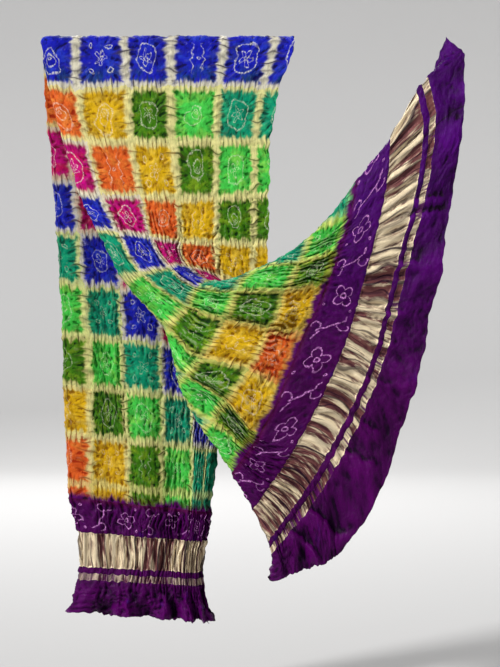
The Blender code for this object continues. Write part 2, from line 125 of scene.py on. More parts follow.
# Back fall. Each row is a section: where its left turned edge and its right selvedges are, how
# deep its near and far layers hang, which column lies on the turned edge, and x of the near
# layer's four long bands, from the turned edge outward.
Hang = namedtuple(
    "Hang", "along left_x left_z right_x right_z near far fold_at first second third fourth"
)
BACK = (
    Hang(37, -241, -24, 245, -24, 12, 24, -0.2, -210, -109, -8, 94),
    Hang(104, -240, -96, 211, -105, 13, 26, -0.1, -200, -112, -27, 62),
    Hang(202, -230, -197, 191, -210, 13, 28, 0.0, -187, -107, -28, 52),
    Hang(300, -220, -300, 176, -320, 13, 30, 0.08, -177, -101, -24, 50),
    Hang(398, -214, -400, 160, -426, 13, 31, 0.1, -169, -95, -19, 50),
    Hang(496, -207, -500, 147, -528, 13, 32, 0.1, -160, -90, -14, 50),
    Hang(594, -203, -600, 135, -628, 13, 32, 0.1, -152, -87, -11, 50),
    Hang(692, -201, -696, 119, -726, 13, 32, 0.1, -148, -83, -9, 50),
    Hang(790, -197, -793, 96, -822, 13, 32, 0.1, -148, -77, -9, 49),
    Hang(888, -189, -892, 86, -921, 13, 32, 0.1, -146, -75, -9, 46),
    Hang(968, -174, -958, 77, -978, 13, 33, 0.1, -137, -70, -8, 40),
    Hang(1030, -170, -1026, 69, -1038, 13, 34, 0.1, -134, -70, -11, 34),
    Hang(1140, -189, -1114, 92, -1135, 15, 47, 0.1, -146, -76, -6, 46),
)
NEAR_BANDS = (-0.5, -1.5, -2.5, -3.5)   # the columns of those four bands
NEAR_REACH = 0.96      # share of the back fall's width that its near layer takes
FAR_SHARES = (1.0, 0.75, 0.55, 0.35, 0.2, 0.05)   # guide points of the far layer, as shares

# Hanging folds: the column on the ridge, its half width in columns, its height, and the
# stretch along the cloth over which it grows.
Fold = namedtuple("Fold", "column half_width height starts full")
BACK_FOLDS = (
    Fold(-0.9, 0.50, 4.0, 104, 500),
    Fold(-1.9, 0.55, -5.5, 104, 1000),
    Fold(-2.8, 0.60, 5.0, 104, 700),
    Fold(-3.7, 0.55, -4.5, 300, 1000),
    Fold(0.9, 0.60, -4.5, 104, 800),
    Fold(2.1, 0.60, 4.0, 200, 900),
    Fold(3.2, 0.60, -5.0, 104, 700),
    Fold(4.2, 0.55, 4.0, 300, 1000),
)
# Long soft folds that sweep round the swag from the rim to the turned edge.
SWAG_FOLDS = (
    Fold(1.8, 0.45, -7.0, 400, 640),
    Fold(0.5, 0.50, 6.0, 420, 700),
    Fold(-0.8, 0.50, -7.0, 560, 800),
    Fold(-2.0, 0.50, 6.0, 640, 888),
    Fold(3.0, 0.45, 5.0, 640, 888),
)
SWAG_FOLDS_FADE = (888, 960)     # along: where they die away
# Creases that fan over the plain front end from the thin stripe to the hem.
FRONT_END_FOLDS = [
    Fold(column, half_width, height, STRIPE_END, full)
    for column, half_width, height, full in (
        (4.1, 0.35, 5.0, 1110),
        (3.4, 0.35, -6.0, 1140),
        (2.6, 0.45, 8.0, 1120),
        (1.8, 0.40, -8.0, 1140),
        (1.1, 0.35, 6.0, 1100),
        (0.4, 0.40, -7.0, 1140),
        (-0.4, 0.45, 8.0, 1120),
        (-1.2, 0.40, -8.0, 1140),
        (-2.0, 0.40, 7.0, 1110),
        (-2.8, 0.45, -7.0, 1140),
        (-3.5, 0.35, 6.0, 1120),
    )
]
# Creases that run slanting over the swag and the front end: the column where one starts, how
# many columns it drifts by its end, how wide its side toward the right selvedge and its side
# toward the left one are in mm, how deep it is, and where it starts and ends along the cloth.
Crease = namedtuple("Crease", "column drift right_width left_width depth starts ends")
FRONT_CREASES = (
    Crease(0.68, 0.10, 26, 11, 7, 640, 850),
    Crease(-0.25, 0.02, 14, 14, 6, 550, 740),
    Crease(-0.90, -0.22, 9, 28, 10, 610, 890),
    Crease(-2.05, 0.28, 8, 16, 7, 750, 888),
    Crease(2.85, -0.25, 4, 8, 6, 982, 1124),
    Crease(2.60, -0.15, 4, 12, 7, 998, 1130),
    Crease(2.00, -0.12, 4, 7, 6, 972, 1096),
    Crease(1.15, 0.10, 4, 7, 6, 970, 1086),
    Crease(0.62, 0.15, 4, 9, 5, 984, 1082),
    Crease(-0.10, 0.25, 4, 9, 5, 1000, 1100),
    Crease(-0.85, 0.30, 5, 14, 6, 1020, 1112),
    Crease(-1.55, 0.75, 7, 26, 9, 1026, 1136),
    Crease(-2.05, 0.10, 4, 8, 5, 1006, 1072),
    Crease(-3.10, 1.45, 8, 44, 12, 1040, 1150),
    Crease(-3.85, 1.10, 8, 36, 12, 1044, 1150),
)
FLARE_WAVES = 9        # ruffle waves round both layers of the back end
FLARE_HEIGHT = 13.0


def natural_spline(knots, values, at):
    """Values of the natural cubic spline through (knots, values) at the places `at`."""
    knots = np.asarray(knots, float)
    values = np.asarray(values, float)
    flat = values.reshape(len(knots), -1)
    step = np.diff(knots)
    slope = np.diff(flat, axis=0) / step[:, None]
    matrix = np.eye(len(knots))
    right = np.zeros_like(flat)
    for i in range(1, len(knots) - 1):
        matrix[i, i - 1:i + 2] = step[i - 1], 2 * (step[i - 1] + step[i]), step[i]
        right[i] = 6 * (slope[i] - slope[i - 1])
    bend = np.linalg.solve(matrix, right)
    i = np.clip(np.searchsorted(knots, at, side="right") - 1, 0, len(knots) - 2)
    gap = step[i][:, None]
    low = (knots[i + 1] - at)[:, None] / gap
    high = 1 - low
    curve = ((low**3 - low) * bend[i] + (high**3 - high) * bend[i + 1]) * gap**2 / 6
    return (low * flat[i] + high * flat[i + 1] + curve).reshape(-1, *values.shape[1:])


def steady_curve(knots, values, at):
    """Values of a smooth curve through (knots, values) that never swings past its points."""
    step = np.diff(knots)[:, None]
    slope = np.diff(values, axis=0) / step
    before, after = slope[:-1], slope[1:]
    weight_before = 2 * step[1:] + step[:-1]
    weight_after = step[1:] + 2 * step[:-1]
    same_way = before * after > 0
    safe_before = np.where(same_way, before, 1.0)
    safe_after = np.where(same_way, after, 1.0)
    mean = weight_before / safe_before + weight_after / safe_after
    mean = (weight_before + weight_after) / mean
    tangent = np.concatenate((slope[:1], np.where(same_way, mean, 0.0), slope[-1:]))
    i = np.clip(np.searchsorted(knots, at, side="right") - 1, 0, len(knots) - 2)
    gap = step[i]
    t = (at - knots[i])[:, None] / gap
    return (
        (2 * t**3 - 3 * t**2 + 1) * values[i]
        + (t**3 - 2 * t**2 + t) * gap * tangent[i]
        + (3 * t**2 - 2 * t**3) * values[i + 1]
        + (t**3 - t**2) * gap * tangent[i + 1]
    )


def smooth_step(value):
    value = np.clip(value, 0.0, 1.0)
    return value * value * (3 - 2 * value)


def bump(column, fold):
    """A fold's soft cross-section, 1 on its ridge and 0 at its feet."""
    return np.cos(np.clip((column - fold.column) / fold.half_width, -1, 1) * np.pi / 2) ** 2


def fold_relief(column, along, folds):
    """Height of the hanging folds at one place of the cloth."""
    total = 0.0
    for fold in folds:
        grown = smooth_step((along - fold.starts) / (fold.full - fold.starts))
        total = total + fold.height * grown * bump(column, fold)
    return total


def past(along, start, reach):
    """0 up to a place on either fall, and softly up to 1 over a reach beyond it."""
    return smooth_step((np.abs(along) - start) / reach)


def rows_down(along):
    """Rows of checks from the first band of the fall, negative over the turn."""
    return (np.abs(along) - np.where(along > 0, FRONT_BAND, BACK_BAND)) / ROW


def puff_relief(column, along):
    """The tied checks stand out between the flat bands of the grid."""
    row = rows_down(along)
    inside = (np.abs(along) < CHECKS_END) & (np.abs(column) < HALF_WIDTH - 0.4)
    return PUFF_HEIGHT * inside * np.abs(np.cos(np.pi * column) * np.sin(np.pi * row))


def front_guides(along):
    """(columns, points) of the section's guide points, from the right selvedge to the left."""
    knots = [s.along for s in FRONT]
    numbers = natural_spline(knots, [s[1:6] for s in FRONT], along)
    places = natural_spline(knots, [s[6:] for s in FRONT], along)
    found = []
    for (plane, belly, behind, crest_at, fold_at), place in zip(numbers, places):
        below_crest = crest_at - min(0.7, (crest_at - 1.5) / 2)
        columns = [HALF_WIDTH, crest_at, below_crest, 1.5, 0.5, (0.5 + fold_at) / 2]
        points = [
            (x, plane + belly * share, z) for (x, z), share in zip(place[:6], BELLY_SHARE)
        ]
        found.append(turned_under(columns, points, fold_at, behind, place[6], place[7]))
    return found


def turned_under(columns, points, fold_at, behind, edge, lower):
    """Adds the turned edge and the layer under it to a section's guide points."""
    front = points[-1][1]
    radius = (front - behind) / 2
    inward = np.array(points[-1])[[0, 2]] - edge
    reach = np.linalg.norm(inward)
    inward = inward / reach
    shoulder = edge + inward * min(radius, 0.6 * reach)
    room = min(TURN_ROOM * (columns[-1] - fold_at), 0.45 * (HALF_WIDTH + fold_at))
    quarter = min(0.5 * np.pi * radius / COLUMN, room)
    under = min(radius, 0.35 * np.linalg.norm(lower - edge))
    shoulder_under = edge + (lower - edge) / np.linalg.norm(lower - edge) * under
    middle = (shoulder_under + lower) / 2
    under_edge = fold_at - quarter
    columns = columns + [fold_at + quarter, fold_at, under_edge]
    columns += [(under_edge - HALF_WIDTH) / 2, -HALF_WIDTH]
    points = points + [
        (shoulder[0], (front + (front + behind) / 2) / 2 + 0.2 * radius, shoulder[1]),
        (edge[0], (front + behind) / 2, edge[1]),
        (shoulder_under[0], behind + 0.1 * radius, shoulder_under[1]),
        (middle[0], behind, middle[1]),
        (lower[0], behind, lower[1]),
    ]
    return np.array(columns), np.array(points)


def back_guides(along):
    """The same for the back fall. Its near layer is the one on the left selvedge's side."""
    knots = [s.along for s in BACK]
    found = []
    for row in natural_spline(knots, BACK, along):
        hang = Hang(*row)
        radius = (hang.far - hang.near) / 2
        middle = -(hang.near + hang.far) / 2
        width = hang.right_x - hang.left_x
        turn = 0.5 * np.pi * radius / COLUMN
        columns = [hang.fold_at + (HALF_WIDTH - hang.fold_at) * share for share in FAR_SHARES]
        columns += [hang.fold_at + turn, hang.fold_at, hang.fold_at - turn]
        columns += [*NEAR_BANDS, -HALF_WIDTH]
        across = [(hang.left_x + width * share, -hang.far) for share in FAR_SHARES]
        across += [
            (hang.left_x + 0.3 * radius, middle - 0.7 * radius),
            (hang.left_x, middle),
            (hang.left_x + 0.3 * radius, middle + 0.7 * radius),
        ]
        near_places = (*hang[8:], hang.left_x + width * NEAR_REACH)
        across += [(x, -hang.near) for x in near_places]
        points = []
        for x, depth in across:
            share = (x - hang.left_x) / width
            points.append((x, depth, hang.left_z + (hang.right_z - hang.left_z) * share))
        found.append((np.array(columns), np.array(points)))
    return found


# ---- The cloth's smooth form ----


def sections(along, guides, wanted):
    """Points (x, depth, z) of the sections at each place along, at the wanted columns."""
    found = []
    for columns, points in guides(along):
        length = np.concatenate(([0], np.cumsum(np.linalg.norm(np.diff(points, axis=0), axis=1))))
        place = np.interp(-wanted, -columns, length)
        found.append(steady_curve(length, points, place))
    return np.array(found)


def cloth_points(along, wanted):
    """Points of the whole cloth at each place along, front positive, with no relief."""
    ends = np.array([SADDLE_ALONG])
    top_front = sections(ends, front_guides, wanted)[0]
    top_back = sections(ends, back_guides, wanted)[0]
    front = along >= SADDLE_ALONG
    back = along <= -SADDLE_ALONG
    points = np.empty((len(along), len(wanted), 3))
    if front.any():
        points[front] = sections(along[front], front_guides, wanted)
    if back.any():
        points[back] = sections(-along[back], back_guides, wanted)
    for i in np.flatnonzero(~front & ~back):
        angle = along[i] / SADDLE_ALONG * np.pi / 2
        share = (1 + np.sin(angle)) / 2
        depth = top_front[:, 1]
        points[i, :, 0] = share * top_front[:, 0] + (1 - share) * top_back[:, 0]
        points[i, :, 1] = depth * np.sin(angle)
        points[i, :, 2] = -SADDLE_DEPTH + depth * np.cos(angle)
    # Depth toward the viewer is -Y.
    points[..., 1] *= -1
    return points


def unit(vectors):
    return vectors / np.linalg.norm(vectors, axis=-1, keepdims=True)


def grid_normals(points):
    """Unit normals of a grid of points, out of the face that was folded outward."""
    return unit(np.cross(np.gradient(points, axis=0), np.gradient(points, axis=1)))


# ---- The crinkle ----

CRINKLE_DEPTH = 1.35   # scale of all the crinkle's heights
PLEAT_WIDTH = 21.0     # one small pleat, measured on the flat cloth
SIDE_PLEAT = 17.0      # from crease to crease along a long band
CROSS_PLEAT = 10.5     # the same along a cross band
GOLD_PLEAT = 23.0      # the same along a gold band
HEM_WAVE = 5.0         # how far the hem wanders in and out
SEAM_WAVE = 2.4        # how far the seams of the ends do
HEM_FLUTE = 60.0       # width of the broad flutes that the small pleats open into at the hem
FLUTE_SHARE = 0.6      # how deep those flutes are beside the small pleats, width for width
# Steepness of the small pleats, at places along the cloth.
PLEAT_SLOPES = ((0, 1, 480, 560), (2.3, 1.2, 1.2, 1.9))
EDGE_WAVE = 4.5        # how far a selvedge or a lengthwise fold wanders in and out
CREASE_REACH = 4.0     # how wide a patch a point's height is compared with, to find creases
FOLD_REACH = 14.0      # the same for folds
HEM_FOLD_HEIGHT = 9.0  # of the broad soft folds that run to a hem
FRONT_HEM_SHARE = 0.5  # how high they are on the front end beside the back one
END_FOLD_DEPTH = 1.2   # how much deeper the front end's creases are than in the solid

# Heights of the crinkle's parts in mm, before CRINKLE_DEPTH. First those in the checks: the
# puckers across the two kinds of band, the crossings, the rays round a motif, hills and grooves.
SIDE_PUCKER, CROSS_PUCKER, CROSSING, RAY = 2.5, 1.3, 2.0, 1.5
COARSE_HILL, FINE_HILL, GROOVE = 1.1, 0.25, 0.8
# Those of the purple ends and the gold bands.
LONG_CREASE, SHORT_CREASE, FRONT_PUFF, BACK_WRINKLE = 1.7, 0.8, 1.7, 2.6
GOLD_RIDGE, GOLD_LINE = 3.7, 1.1
# Their means, which keep the crinkled cloth on its smooth form.
CRINKLE_MEAN, GOLD_MEAN, HILL_MEAN = 2.0, 2.3, 0.55

NOISE_SIDE = 256
NOISE_SEED = 11
NOISE_ANGLES = np.random.default_rng(NOISE_SEED).uniform(0, 2 * np.pi, (NOISE_SIDE, NOISE_SIDE))


def noise(x, y):
    """Smooth noise from about -1 to 1, with a wave about every two units."""
    left = np.floor(x).astype(int)
    low = np.floor(y).astype(int)
    x = x - left
    y = y - low
    total = 0
    for i in (0, 1):
        for j in (0, 1):
            angle = NOISE_ANGLES[(left + i) % NOISE_SIDE, (low + j) % NOISE_SIDE]
            slope = np.cos(angle) * (x - i) + np.sin(angle) * (y - j)
            near_x = 1 - np.abs(x - i)
            near_y = 1 - np.abs(y - j)
            total = total + slope * soft(near_x) * soft(near_y)
    return 1.5 * total


def soft(value):
    """Perlin's fade from 0 to 1."""
    return value**3 * (value * (value * 6 - 15) + 10)


def crumple(x, y):
    """Rounded hills, 1 high, between sharp valleys at 0."""
    return np.minimum(1.6 * np.abs(noise(x, y)), 1) ** 0.85


def pillows(x):
    """A row of rounded pillows, one for each unit, with a tight crease between them."""
    return np.abs(np.sin(np.pi * x)) ** 0.45


def grooves(x, y):
    """Flat cloth at 1 with thin wandering creases down to 0."""
    return 1 - near(noise(x, y), 0.24)


def near(distance, reach):
    """1 at no distance, and down to 0 at about twice the reach."""
    return np.exp(-((distance / reach) ** 2))


def pleat_phases(column, along):
    """Counts of the creases across the long bands, and of those across the cross bands or gold."""
    across = column * COLUMN
    row = np.round(rows_down(along))
    wander = noise(across / 30 + 9, along / 34)
    side = along / SIDE_PLEAT + 0.37 * np.floor(column) + 1.9 * np.sign(along) + 0.6 * wander
    cross = across / CROSS_PLEAT + 0.61 * row + 0.6 * noise(across / 26, along / 50 + 31)
    bend = 4 * noise(across / 34, along / 40 + 61)
    gold = (across + bend) / GOLD_PLEAT + 0.6 * noise(across / 45 + 8, along / 90)
    return side, np.where(np.abs(along) < CHECKS_END, cross, gold)


def check_crinkle(column, along, ease):
    """Height of the crinkle in the checks: puckers across each band and toward each motif.

    ease is 1 where the cloth hangs at its own width and 0 where it is squeezed into pleats.
    """
    across = column * COLUMN
    side = np.sign(along)
    row = rows_down(along)
    row = np.minimum(row, LAST_ROW) + np.maximum(row - LAST_ROW, 0) / LAST_ROW_LENGTH
    in_column = column - np.round(column)
    in_row = row - np.floor(row) - 0.5
    from_side_band = 0.5 - np.abs(in_column)
    # No band crosses the cloth over the turn.
    from_cross_band = 0.5 - np.abs(in_row) + (row < -0.6)
    side_phase, cross_phase = pleat_phases(column, along)
    side_pucker = pillows(side_phase) * near(from_side_band, 0.24)
    cross_pucker = pillows(cross_phase) * near(from_cross_band, 0.12)
    crossing = near(from_side_band, 0.14) * near(from_cross_band, 0.12)

    around = np.hypot(in_column, in_row) + 1e-6
    cell = np.round(column) * 5.3 + np.floor(row) * 8.7 + side * 3.1
    ray_x = in_column / around
    ray_y = in_row / around
    rays = crumple(4.6 * ray_x + cell, 4.6 * ray_y + 0.7 * cell + around)
    inside = smooth_step(from_side_band / 0.18) * smooth_step(from_cross_band / 0.18)
    ray_share = inside * smooth_step((around - 0.1) / 0.2) * (0.25 + 0.75 * ease)

    bend_x = 5 * noise(across / 30 + 70, along / 30)
    bend_y = 5 * noise(across / 30, along / 30 + 50)
    coarse = crumple((across + bend_x) / 22, (along + bend_y) / 15)
    fine = crumple((across + bend_y) / 8.5 + 40, (along + bend_x) / 6.5)

    height = SIDE_PUCKER * side_pucker * (1 - 0.7 * crossing)
    height += CROSS_PUCKER * cross_pucker * (1 - 0.8 * crossing)
    height += CROSSING * crossing + RAY * rays * ray_share
    height += (COARSE_HILL * coarse + FINE_HILL * fine) * (0.3 + 0.7 * inside)
    height += GROOVE * grooves((across + bend_y) / 30 + 7, (along + bend_x) / 24)
    return height - CRINKLE_MEAN


def end_crinkle(column, along):
    """Height of the crinkle in the purple ends: long creases, and puffs where a hem is loose."""
    across = column * COLUMN
    side = np.sign(along)
    loose = past(along, STRIPE_END, 30)
    bend = 9 * noise(across / 40, along / 34 + 12)
    long_creases = crumple((across + bend) / 24 + 5 * side, along / 44)
    short = crumple((across + bend) / 14 + 17, (along - bend) / 12)
    wrinkles = crumple((across + 2 * bend) / 38 + 17, (along - bend) / 13)
    small = grooves((across - bend) / 22 + 3, (along + bend) / 17)
    height = (LONG_CREASE * long_creases + SHORT_CREASE * short) * (1 - 0.8 * loose)
    height = height + GROOVE * small - CRINKLE_MEAN
    puffs = crumple((across + bend) / 16 + 17, (along - 2 * bend) / 32)
    puffs = FRONT_PUFF * (puffs - HILL_MEAN)
    return height + loose * np.where(along > 0, puffs, BACK_WRINKLE * (wrinkles - HILL_MEAN))


def gold_ridges(column, along):
    """Parallel ridges across a gold band; crinkle presses them down at its two seams."""
    across = column * COLUMN
    wide = pillows(pleat_phases(column, along)[1])
    narrow = crumple(across / 8 + 3, along / 34)
    return GOLD_RIDGE * wide + GOLD_LINE * narrow - GOLD_MEAN


def band_share(place, start, end, edge):
    """1 between two seams, falling to 0 across each of them."""
    return smooth_step((place - start) / edge + 0.5) * smooth_step((end - place) / edge + 0.5)


def squeezed_pleats(column, along, squeeze, room):
    """Small pleats along the cloth that take up its width where it hangs narrower than its cut.

    squeeze is the width, and room the area, that one unit of the cloth hangs in. A wave whose
    slope is s makes the cloth about 1 + s * s / 4 times as long as the line that it runs along.
    """
    across = column * COLUMN
    bend = 8 * noise(across / 44, along / 40 + 80)
    small = PLEAT_WIDTH * (2 * crumple((across + bend) / PLEAT_WIDTH * 1.7 + 60, along / 58) - 1)
    broad = HEM_FLUTE * (2 * crumple((across + 2 * bend) / HEM_FLUTE * 1.7 + 20, along / 150) - 1)
    hem = past(along, STRIPE_END, 40)
    wave = small * (1 - 0.75 * hem) + broad * FLUTE_SHARE * hem
    fullness = np.clip(0.86 / room, 1, 2.3) - 1
    slope = np.interp(along, *PLEAT_SLOPES) * fullness**0.75
    return slope * squeeze / (2 * np.pi) * wave


def crinkle(column, along, squeeze, room):
    """Height of the fine crinkle anywhere on the cloth."""
    place = np.abs(along)
    ends = past(along, CHECKS_END, 14)
    gold = band_share(place, VINE_END, BROCADE_END, 8) + band_share(place, PLAIN_END, STRIPE_END, 6)
    purple = end_crinkle(column, along) * (1 - gold) + gold_ridges(column, along) * gold
    ease = smooth_step((room - 0.6) / 0.3)
    height = check_crinkle(column, along, ease) * (1 - ends) + purple * ends
    return CRINKLE_DEPTH * height + squeezed_pleats(column, along, squeeze, room)


def edge_wave(column, along):
    """How far the cloth near its selvedges is drawn in by the bands and let out between them."""
    row = rows_down(along)
    drawn = -0.6 * near(row - np.round(row), 0.16) * (1 - past(along, CHECKS_END, 20))
    wander = 0.7 * noise(along / 26 + 3 * np.sign(column), 0 * along + 20)
    wander = wander + 0.5 * noise(along / 11, 0 * along + 5)
    edge = near(HALF_WIDTH - np.abs(column), 0.28)
    return np.sign(column) * EDGE_WAVE * (drawn + wander) * edge


def end_wave(column, along):
    """How far the seams and the hem of an end wander along the cloth."""
    across = column * COLUMN
    side = np.sign(along)
    hem = noise(across / 46 + 2 * side, 0 * along + 40) + 0.5 * noise(across / 17, 0 * along + 2)
    hem = HEM_WAVE * (hem - 0.4) * past(along, STRIPE_END, CLOTH_END - STRIPE_END) ** 2
    seams = noise(across / 10 + 5 * side, along / 60 + 9) * past(along, CHECKS_END, 12)
    return side * hem + SEAM_WAVE * seams


def hem_folds(column, along):
    """Broad soft folds where a plain end hangs loose."""
    across = column * COLUMN
    side = np.sign(along)
    slant = 0.5 * (np.abs(along) - STRIPE_END)
    folds = noise((across + slant) / 40 + 9 * side, along / 110)
    folds = folds + 0.4 * noise((across - slant) / 21 + 5 * side, along / 60)
    share = np.where(along > 0, FRONT_HEM_SHARE, 1.0)
    return HEM_FOLD_HEIGHT * share * folds * past(along, STRIPE_END, 30)


def front_creases(column, along):
    """Slanting creases of the swag and its end, steep on one side and gentle on the other."""
    total = 0 * column
    for crease in FRONT_CREASES:
        share = (along - crease.starts) / (crease.ends - crease.starts)
        wander = 4 * noise(along / 16 + 5 * crease.column, 0 * along + 33)
        distance = (column - crease.column - crease.drift * share) * COLUMN + wander
        width = np.where(distance > 0, crease.right_width, crease.left_width)
        grown = smooth_step(4 * share) * smooth_step(4 * (1 - share))
        total = total - crease.depth * grown * near(distance, width)
    return total


def long_folds(column, along):
    """The folds of the two falls, and the folds and flutes of their hems."""
    starts, ends = SWAG_FOLDS_FADE
    swag = fold_relief(column, along, SWAG_FOLDS) * smooth_step((ends - along) / (ends - starts))
    swag = swag + END_FOLD_DEPTH * fold_relief(column, along, FRONT_END_FOLDS)
    swag = swag + front_creases(column, along)
    flare_share = smooth_step((-along - STRIPE_END) / (CLOTH_END - STRIPE_END))
    waves = np.sin(np.pi * (column / HALF_WIDTH) * FLARE_WAVES + 0.6 * np.sin(2.3 * column))
    hang = fold_relief(column, -along, BACK_FOLDS) + FLARE_HEIGHT * flare_share * waves
    return np.where(along > 0, swag, hang) + hem_folds(column, along)


def gather_relief(column, along):
    """The gathers of the gold bands."""
    count = np.where(along > 0, GATHERS_FRONT, GATHERS_BACK)
    turns = count * (HALF_WIDTH - column) / (2 * HALF_WIDTH)
    share = np.clip((np.abs(along) - VINE_END) / (BROCADE_END - VINE_END), 0, 1)
    uneven = 0.75 + 0.25 * np.sin(0.51 * turns + 1.1)
    return GATHER_HEIGHT * np.sin(np.pi * share) ** 0.6 * uneven * np.sin(2 * np.pi * turns)


# ---- Pieces ----

SHELL = 0.5            # thickness of the silk shell

TOP_END = 202          # along: where the top fold ends on both falls
RIM_START = 496        # along: where the front's panel ends and its swag starts

# Each piece: its name, which is also its node's, where it starts and ends along the cloth, the
# spacing of its points along and across, its material slot, and what it hangs from.
Piece = namedtuple("Piece", "node start end step spacing slot hangs_from")

# The bands of an end: name, end along the cloth, step, spacing and slot.
END_BANDS = (
    ("vine_band", VINE_END, 2.7, 2.7, "purple_silk"),
    ("gold_band", BROCADE_END, 3.1, 1.6, "gold_weave"),
    ("narrow_strip", PLAIN_END, 2.4, 2.0, "purple_silk"),
    ("thin_stripe", STRIPE_END, 2.4, 1.6, "gold_weave"),
    ("plain_end", CLOTH_END, 2.9, 2.8, "purple_silk"),
)


def end_pieces(fall, way, hangs_from):
    """The pieces of one fall's end; way is 1 for the front and -1 for the back."""
    found = []
    start = CHECKS_END
    for band, end, step, spacing, slot in END_BANDS:
        node = fall + "_" + band
        found.append(Piece(node, way * start, way * end, step, spacing, slot, (hangs_from,)))
        start, hangs_from = end, node
    return found


PIECES = (
    Piece("top_fold", -TOP_END, TOP_END, 3.5, 3.3, "check_silk", ()),
    Piece("front_panel", TOP_END, RIM_START, 2.9, 3.1, "check_silk", ("top_fold",)),
    Piece("front_swag", RIM_START, CHECKS_END, 3.0, 3.1, "check_silk", ("front_panel",)),
    *end_pieces("front", 1, "front_swag"),
    Piece("back_panel", -TOP_END, -CHECKS_END, 3.8, 3.7, "check_silk", ("top_fold",)),
    *end_pieces("back", -1, "back_panel"),
)


def blurred(heights, reach_down, reach_across):
    """Heights averaged over a soft round patch, by three passes of a running mean."""
    for _ in range(3):
        for axis, reach in ((0, reach_down), (1, reach_across)):
            reach = max(1, int(round(reach)))
            ends = [(reach, reach) if i == axis else (0, 0) for i in (0, 1)]
            total = np.cumsum(np.pad(heights, ends, mode="edge"), axis=axis)
            total = np.concatenate((np.zeros_like(np.take(total, [0], axis)), total), axis)
            size = heights.shape[axis]
            high = np.take(total, np.arange(2 * reach + 1, 2 * reach + 1 + size), axis)
            heights = (high - np.take(total, np.arange(size), axis)) / (2 * reach + 1)
    return heights


def fold_depths(columns, along, step, spacing):
    """Heights of the long folds over what is round them, in mm."""
    more = int(np.ceil(FOLD_REACH * 3 / step)) + 3
    longer = along[0] + step * np.arange(-more, len(along) + more)
    column, place = np.meshgrid(columns, longer)
    height = long_folds(column, place)
    return (height - blurred(height, FOLD_REACH / step, FOLD_REACH / spacing))[more:-more]


def piece_grid(piece):
    """The piece's points, normals, columns, places along, and depths of creases and folds."""
    first, last = sorted((piece.start, piece.end))
    count = int(np.ceil((last - first) / piece.step))
    step = (last - first) / count
    parts = int(np.ceil(2 * HALF_WIDTH * COLUMN / piece.spacing))
    columns = np.linspace(HALF_WIDTH, -HALF_WIDTH, parts + 1)
    # More rows at each end give the seams the same normals and creases on both sides.
    more = int(np.ceil(CREASE_REACH * 4 / step))
    along = first + step * np.arange(-more, count + more + 1)
    base = cloth_points(along, columns)
    column, place = np.meshgrid(columns, along)
    flat_spacing = 2 * HALF_WIDTH * COLUMN / parts
    squeeze = np.linalg.norm(np.gradient(base, axis=1), axis=-1) / flat_spacing
    room = squeeze * np.linalg.norm(np.gradient(base, axis=0), axis=-1) / step
    fine = crinkle(column, place, squeeze, room)
    height = puff_relief(column, place) + long_folds(column, place)
    height = height + gather_relief(column, place) + fine
    crease = height - blurred(height, CREASE_REACH / step, CREASE_REACH / piece.spacing)
    fold = fold_depths(columns, along, step, piece.spacing)
    points = base + grid_normals(base) * height[..., None]
    points += unit(-np.gradient(base, axis=1)) * edge_wave(column, place)[..., None]
    points += unit(np.gradient(base, axis=0)) * end_wave(column, place)[..., None]
    normals = grid_normals(points)
    kept = slice(more, -more)
    return points[kept], normals[kept], column[kept], place[kept], crease[kept], fold[kept]


def shell_faces(rows, parts):
    """Quads of two grids of points, the second under the first, with a rim that closes them."""
    number = np.arange(rows * parts).reshape(rows, parts)
    a = number[:-1, :-1]
    b = number[:-1, 1:]
    c = number[1:, 1:]
    d = number[1:, :-1]
    outer = np.stack((a, d, c, b), -1).reshape(-1, 4)
    inner = np.stack((a, b, c, d), -1).reshape(-1, 4) + rows * parts
    edge = np.concatenate((number[0], number[1:, -1], number[-1, -2::-1], number[-2:0:-1, 0]))
    onward = np.roll(edge, -1)
    rim = np.stack((edge, onward, onward + rows * parts, edge + rows * parts), -1)
    return np.concatenate((outer, inner, rim))


def put_in_scene(name, data, at=(0, 0, 0)):
    made = bpy.data.objects.new(name, data)
    made.location = at
    bpy.context.scene.collection.objects.link(made)
    return made


def add_values(mesh, name, values, inner):
    """Gives the outer points two numbers each for the material to read, and the inner points
    the same numbers times `inner`."""
    numbers = np.column_stack([value.ravel() for value in (*values, 0 * values[0])])
    made = mesh.attributes.new(name, "FLOAT_VECTOR", "POINT")
    made.data.foreach_set("vector", np.concatenate((numbers, inner * numbers)).ravel())


def build_piece(piece, finish):
    """The piece's shell, with its flat places, creases, folds and pleats for the material."""
    points, normals, column, place, crease, fold = piece_grid(piece)
    rows, parts = column.shape
    outer = points + normals * SHELL / 2
    inner = points - normals * SHELL / 2
    vertices = np.concatenate((outer.reshape(-1, 3), inner.reshape(-1, 3))) * MM
    faces = shell_faces(rows, parts)
    mesh = bpy.data.meshes.new(piece.node + "_silk")
    mesh.vertices.add(len(vertices))
    mesh.vertices.foreach_set("co", vertices.ravel())
    mesh.loops.add(faces.size)
    mesh.loops.foreach_set("vertex_index", faces.ravel())
    mesh.polygons.add(len(faces))
    mesh.polygons.foreach_set("loop_start", np.arange(0, faces.size, 4))
    mesh.update(calc_edges=True)
    mesh.shade_smooth()
    cloth = mesh.uv_layers.new(name="cloth")
    places = np.stack((column.ravel(), place.ravel() / ROW), -1)
    cloth.data.foreach_set("uv", np.concatenate((places, places))[faces.ravel()].ravel())
    add_values(mesh, "depths", (crease, fold), -1)
    add_values(mesh, "pleats", pleat_phases(column, place), 1)
    both = np.concatenate((normals.reshape(-1, 3), -normals.reshape(-1, 3)))
    mesh.normals_split_custom_set_from_vertices(both.tolist())
    mesh.materials.append(finish)
    return put_in_scene(mesh.name, mesh)


# ---- Materials ----


